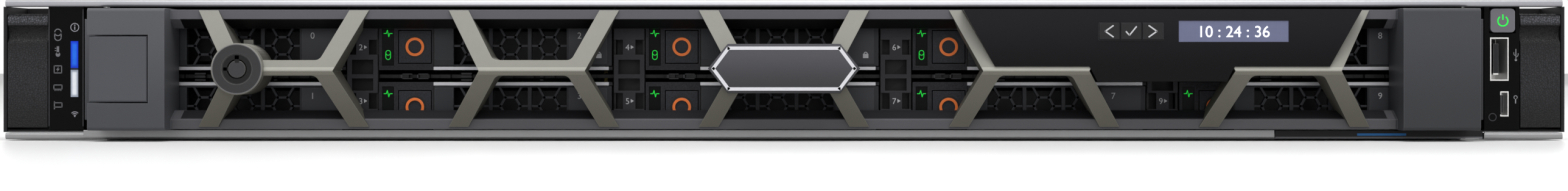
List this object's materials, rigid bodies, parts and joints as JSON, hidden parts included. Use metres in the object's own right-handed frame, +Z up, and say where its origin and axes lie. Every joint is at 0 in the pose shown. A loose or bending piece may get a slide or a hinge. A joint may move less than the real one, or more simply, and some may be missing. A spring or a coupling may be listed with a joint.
{
  "type": "1u rack server",
  "caption": "Flat rack server with a crossed-strut front bezel, display and lock, drive carriers behind it, ear latches, sliding cover and removable power supplies.",
  "frame": {"origin": "middle of the underside, in the plane of the ears' flanges that bolts to the rack posts", "axes": "+X to the viewer's right seen from the front, +Y towards the rear, +Z up"},
  "size_m": [0.482, 0.8087, 0.0428],
  "materials": {
    "tray_steel": "bare zinc-coated sheet",
    "trim_silver": "satin silver",
    "black_plastic": "fine grain, black",
    "gloss_black": "glossy black",
    "light_pipe": "clear light bar",
    "port_metal": "bright plated sheet",
    "grey_plastic": "satin grey",
    "plate_grey": "fine grain, dark grey",
    "bezel_grey": "satin dark grey",
    "lattice_grey": "sanded light grey paint",
    "plaque": "satin",
    "chrome_lock": "turned, bright",
    "screen": "lit display",
    "drive_metal": "cast",
    "board_green": "solder mask",
    "heat_fins": "stamped fins",
    "clear_shroud": "matte black",
    "cover_steel": "zinc-coated sheet",
    "orange_plastic": "satin terracotta",
    "blue_plastic": "satin blue",
    "memory_green": "circuit board with chips"
  },
  "bodies": {
    "chassis": {"chassis_tray": "tray_steel", "front_trims": "trim_silver", "ear_right": "black_plastic", "ear_left": "black_plastic", "status_panel": "gloss_black", "status_light": "light_pipe", "io_panel": "gloss_black", "front_ports": "port_metal", "drive_cage": "tray_steel", "bay_number_plates": "plate_grey", "drive_carriers": "black_plastic", "disk_drives": "drive_metal", "carrier_handles": "black_plastic", "backplane": "board_green", "fan_housings": "clear_shroud", "motherboard": "board_green", "heat_sinks": "heat_fins", "memory_modules": "memory_green", "air_shroud": "clear_shroud", "riser_cards": "board_green", "rear_panel": "tray_steel", "rear_ports": "port_metal"},
    "bezel": {"bezel_frame": "bezel_grey", "bezel_lattice": "lattice_grey", "bezel_badge": "plaque", "lock_body": "chrome_lock", "lcd_housing": "gloss_black", "lcd_screen": "screen"},
    "release_button": {"release_button": "bezel_grey"},
    "lock_core": {"lock_core": "chrome_lock"},
    "lcd_left_button": {"lcd_left_button": "black_plastic"},
    "lcd_select_button": {"lcd_select_button": "black_plastic"},
    "lcd_right_button": {"lcd_right_button": "black_plastic"},
    "latch_right": {"latch_right": "black_plastic"},
    "latch_left": {"latch_left": "black_plastic"},
    "power_button": {"power_button": "grey_plastic"},
    "info_tag": {"info_tag": "black_plastic"},
    "id_button": {"id_button": "blue_plastic"},
    "psu_1": {"psu_1": "drive_metal"},
    "psu_1_lever": {"psu_1_lever": "orange_plastic"},
    "psu_2": {"psu_2": "drive_metal"},
    "psu_2_lever": {"psu_2_lever": "orange_plastic"},
    "top_cover": {"top_cover": "cover_steel"},
    "cover_latch_handle": {"cover_latch_handle": "blue_plastic"},
    "cover_latch_lock": {"cover_latch_lock": "black_plastic"},
    "drive_button_0": {"drive_button_0": "plate_grey"},
    "drive_button_1": {"drive_button_1": "plate_grey"},
    "drive_button_2": {"drive_button_2": "plate_grey"},
    "drive_button_3": {"drive_button_3": "plate_grey"},
    "drive_button_4": {"drive_button_4": "plate_grey"},
    "drive_button_5": {"drive_button_5": "plate_grey"},
    "drive_button_6": {"drive_button_6": "plate_grey"},
    "drive_button_7": {"drive_button_7": "plate_grey"},
    "drive_button_8": {"drive_button_8": "plate_grey"},
    "drive_button_9": {"drive_button_9": "plate_grey"},
    "fan_rotor_1": {"fan_rotor_1": "clear_shroud"},
    "fan_rotor_2": {"fan_rotor_2": "clear_shroud"},
    "fan_rotor_3": {"fan_rotor_3": "clear_shroud"},
    "fan_rotor_4": {"fan_rotor_4": "clear_shroud"},
    "fan_rotor_5": {"fan_rotor_5": "clear_shroud"}
  },
  "joints": [
    {"name": "bezel_pull", "type": "slide", "parent": "chassis", "child": "bezel", "axis": [0, -1, 0], "range_m": [0, 0.05]},
    {"name": "bezel_release", "type": "slide", "parent": "bezel", "child": "release_button", "axis": [0, 1, 0], "range_m": [0, 0.0024], "stiffness_N_per_m": 400, "springref_m": -0.001},
    {"name": "lock_turn", "type": "hinge", "parent": "bezel", "child": "lock_core", "pos_m": [-0.1654, -0.03, 0.0216], "axis": [0, 1, 0], "range_deg": [0, 90]},
    {"name": "lcd_left_press", "type": "slide", "parent": "bezel", "child": "lcd_left_button", "axis": [0, 1, 0], "range_m": [0, 0.001], "stiffness_N_per_m": 150, "springref_m": -0.001},
    {"name": "lcd_select_press", "type": "slide", "parent": "bezel", "child": "lcd_select_button", "axis": [0, 1, 0], "range_m": [0, 0.001], "stiffness_N_per_m": 150, "springref_m": -0.001},
    {"name": "lcd_right_press", "type": "slide", "parent": "bezel", "child": "lcd_right_button", "axis": [0, 1, 0], "range_m": [0, 0.001], "stiffness_N_per_m": 150, "springref_m": -0.001},
    {"name": "latch_right_swing", "type": "hinge", "parent": "chassis", "child": "latch_right", "pos_m": [0.23355, -0.02035, 0.03695], "axis": [-1, 0, 0], "range_deg": [0, 60]},
    {"name": "latch_left_swing", "type": "hinge", "parent": "chassis", "child": "latch_left", "pos_m": [-0.23355, -0.02035, 0.03695], "axis": [-1, 0, 0], "range_deg": [0, 60]},
    {"name": "power_press", "type": "slide", "parent": "chassis", "child": "power_button", "axis": [0, 1, 0], "range_m": [0, 0.001], "stiffness_N_per_m": 250, "springref_m": -0.001},
    {"name": "info_tag_slide", "type": "slide", "parent": "chassis", "child": "info_tag", "axis": [0, -1, 0], "range_m": [0, 0.06]},
    {"name": "id_press", "type": "slide", "parent": "chassis", "child": "id_button", "axis": [0, -1, 0], "range_m": [0, 0.001], "stiffness_N_per_m": 250, "springref_m": -0.001},
    {"name": "psu_1_slide", "type": "slide", "parent": "chassis", "child": "psu_1", "axis": [0, 1, 0], "range_m": [0, 0.19]},
    {"name": "psu_1_release", "type": "hinge", "parent": "psu_1", "child": "psu_1_lever", "pos_m": [-0.1718, 0.7387, 0.035], "axis": [0, 0, 1], "range_deg": [0, 5], "stiffness_Nm_per_rad": 0.05, "springref_deg": -11.46},
    {"name": "psu_2_slide", "type": "slide", "parent": "chassis", "child": "psu_2", "axis": [0, 1, 0], "range_m": [0, 0.19]},
    {"name": "psu_2_release", "type": "hinge", "parent": "psu_2", "child": "psu_2_lever", "pos_m": [0.1718, 0.7387, 0.035], "axis": [0, 0, -1], "range_deg": [0, 5], "stiffness_Nm_per_rad": 0.05, "springref_deg": -11.46},
    {"name": "cover_slide", "type": "slide", "parent": "chassis", "child": "top_cover", "axis": [0, 1, 0], "range_m": [0, 0.014]},
    {"name": "cover_handle_lift", "type": "hinge", "parent": "top_cover", "child": "cover_latch_handle", "pos_m": [0, 0.491, 0.0412], "axis": [-1, 0, 0], "range_deg": [0, 76]},
    {"name": "cover_lock_turn", "type": "hinge", "parent": "cover_latch_handle", "child": "cover_latch_lock", "pos_m": [0, 0.462, 0.041], "axis": [0, 0, 1], "range_deg": [0, 90]},
    {"name": "drive_button_0_press", "type": "slide", "parent": "chassis", "child": "drive_button_0", "axis": [0, 1, 0], "range_m": [0, 0.001], "stiffness_N_per_m": 200, "springref_m": -0.001},
    {"name": "drive_button_1_press", "type": "slide", "parent": "chassis", "child": "drive_button_1", "axis": [0, 1, 0], "range_m": [0, 0.001], "stiffness_N_per_m": 200, "springref_m": -0.001},
    {"name": "drive_button_2_press", "type": "slide", "parent": "chassis", "child": "drive_button_2", "axis": [0, 1, 0], "range_m": [0, 0.001], "stiffness_N_per_m": 200, "springref_m": -0.001},
    {"name": "drive_button_3_press", "type": "slide", "parent": "chassis", "child": "drive_button_3", "axis": [0, 1, 0], "range_m": [0, 0.001], "stiffness_N_per_m": 200, "springref_m": -0.001},
    {"name": "drive_button_4_press", "type": "slide", "parent": "chassis", "child": "drive_button_4", "axis": [0, 1, 0], "range_m": [0, 0.001], "stiffness_N_per_m": 200, "springref_m": -0.001},
    {"name": "drive_button_5_press", "type": "slide", "parent": "chassis", "child": "drive_button_5", "axis": [0, 1, 0], "range_m": [0, 0.001], "stiffness_N_per_m": 200, "springref_m": -0.001},
    {"name": "drive_button_6_press", "type": "slide", "parent": "chassis", "child": "drive_button_6", "axis": [0, 1, 0], "range_m": [0, 0.001], "stiffness_N_per_m": 200, "springref_m": -0.001},
    {"name": "drive_button_7_press", "type": "slide", "parent": "chassis", "child": "drive_button_7", "axis": [0, 1, 0], "range_m": [0, 0.001], "stiffness_N_per_m": 200, "springref_m": -0.001},
    {"name": "drive_button_8_press", "type": "slide", "parent": "chassis", "child": "drive_button_8", "axis": [0, 1, 0], "range_m": [0, 0.001], "stiffness_N_per_m": 200, "springref_m": -0.001},
    {"name": "drive_button_9_press", "type": "slide", "parent": "chassis", "child": "drive_button_9", "axis": [0, 1, 0], "range_m": [0, 0.001], "stiffness_N_per_m": 200, "springref_m": -0.001},
    {"name": "fan_1_spin", "type": "hinge", "parent": "chassis", "child": "fan_rotor_1", "pos_m": [-0.165, 0.19, 0.021], "axis": [0, 1, 0], "continuous": true},
    {"name": "fan_2_spin", "type": "hinge", "parent": "chassis", "child": "fan_rotor_2", "pos_m": [-0.0825, 0.19, 0.021], "axis": [0, 1, 0], "continuous": true},
    {"name": "fan_3_spin", "type": "hinge", "parent": "chassis", "child": "fan_rotor_3", "pos_m": [0, 0.19, 0.021], "axis": [0, 1, 0], "continuous": true},
    {"name": "fan_4_spin", "type": "hinge", "parent": "chassis", "child": "fan_rotor_4", "pos_m": [0.0825, 0.19, 0.021], "axis": [0, 1, 0], "continuous": true},
    {"name": "fan_5_spin", "type": "hinge", "parent": "chassis", "child": "fan_rotor_5", "pos_m": [0.165, 0.19, 0.021], "axis": [0, 1, 0], "continuous": true}
  ],
  "couplings": [
    {"joint": "cover_handle_lift", "follows": "cover_slide", "rad_per_m": 93.5}
  ]
}
